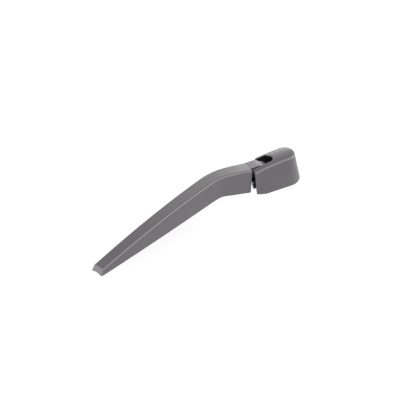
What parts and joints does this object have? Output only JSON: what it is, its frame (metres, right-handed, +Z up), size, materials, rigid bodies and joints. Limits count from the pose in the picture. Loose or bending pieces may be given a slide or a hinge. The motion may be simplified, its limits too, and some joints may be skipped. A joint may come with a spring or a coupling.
{
  "type": "rear wiper arm",
  "caption": "Cranked rear wiper arm: sprung ribbed channel hinged on a cast mounting head under a flip-up round-nosed cap, with a cross pin for the blade near its tip.",
  "frame": {"origin": "on the spindle axis, at the lower face of the mounting head, which is the plane of the cap's lower edge", "axes": "+Z up along the spindle axis away from the car; +X towards the cap's round nose; the arm leaves towards -X and cranks towards -Y"},
  "size_m": [0.2592, 0.0781, 0.0336],
  "materials": {
    "moulded_plastic": "satin moulded",
    "cast_head": "as cast",
    "steel": "drawn",
    "bush": "turned",
    "spring_steel": "zinc plated"
  },
  "bodies": {
    "head": {"mounting_head": "cast_head", "hinge_pin": "steel", "spring_post": "steel"},
    "arm": {"arm": "moulded_plastic", "hinge_bush_left": "bush", "hinge_bush_right": "bush", "anchor_pin": "steel", "blade_pin": "steel"},
    "cover": {"head_cover": "moulded_plastic"},
    "coil": {"spring_eye": "spring_steel", "tension_spring": "spring_steel"},
    "hook": {"spring_hook": "spring_steel"}
  },
  "joints": [
    {"name": "arm_lift", "type": "hinge", "parent": "head", "child": "arm", "pos_m": [-0.03, 0, 0.021], "axis": [0, 1, 0], "range_deg": [0, 50], "stiffness_Nm_per_rad": 0.25, "springref_deg": -22.92},
    {"name": "cover_flip", "type": "hinge", "parent": "head", "child": "cover", "pos_m": [-0.03, 0, 0.021], "axis": [0, -1, 0], "range_deg": [0, 45]},
    {"name": "coil_swing", "type": "hinge", "parent": "arm", "child": "coil", "pos_m": [-0.09, 0, 0.022], "axis": [0, 1, 0], "range_deg": [-3.8, 0.05]},
    {"name": "hook_stretch", "type": "slide", "parent": "coil", "child": "hook", "axis": [0.9644, 0, -0.2646], "range_m": [-0.0001, 0.0128], "deforming": ["tension_spring"]}
  ],
  "couplings": [
    {"joint": "coil_swing", "follows": "arm_lift", "ratio": -0.074},
    {"joint": "hook_stretch", "follows": "arm_lift", "m_per_rad": 0.01455}
  ]
}
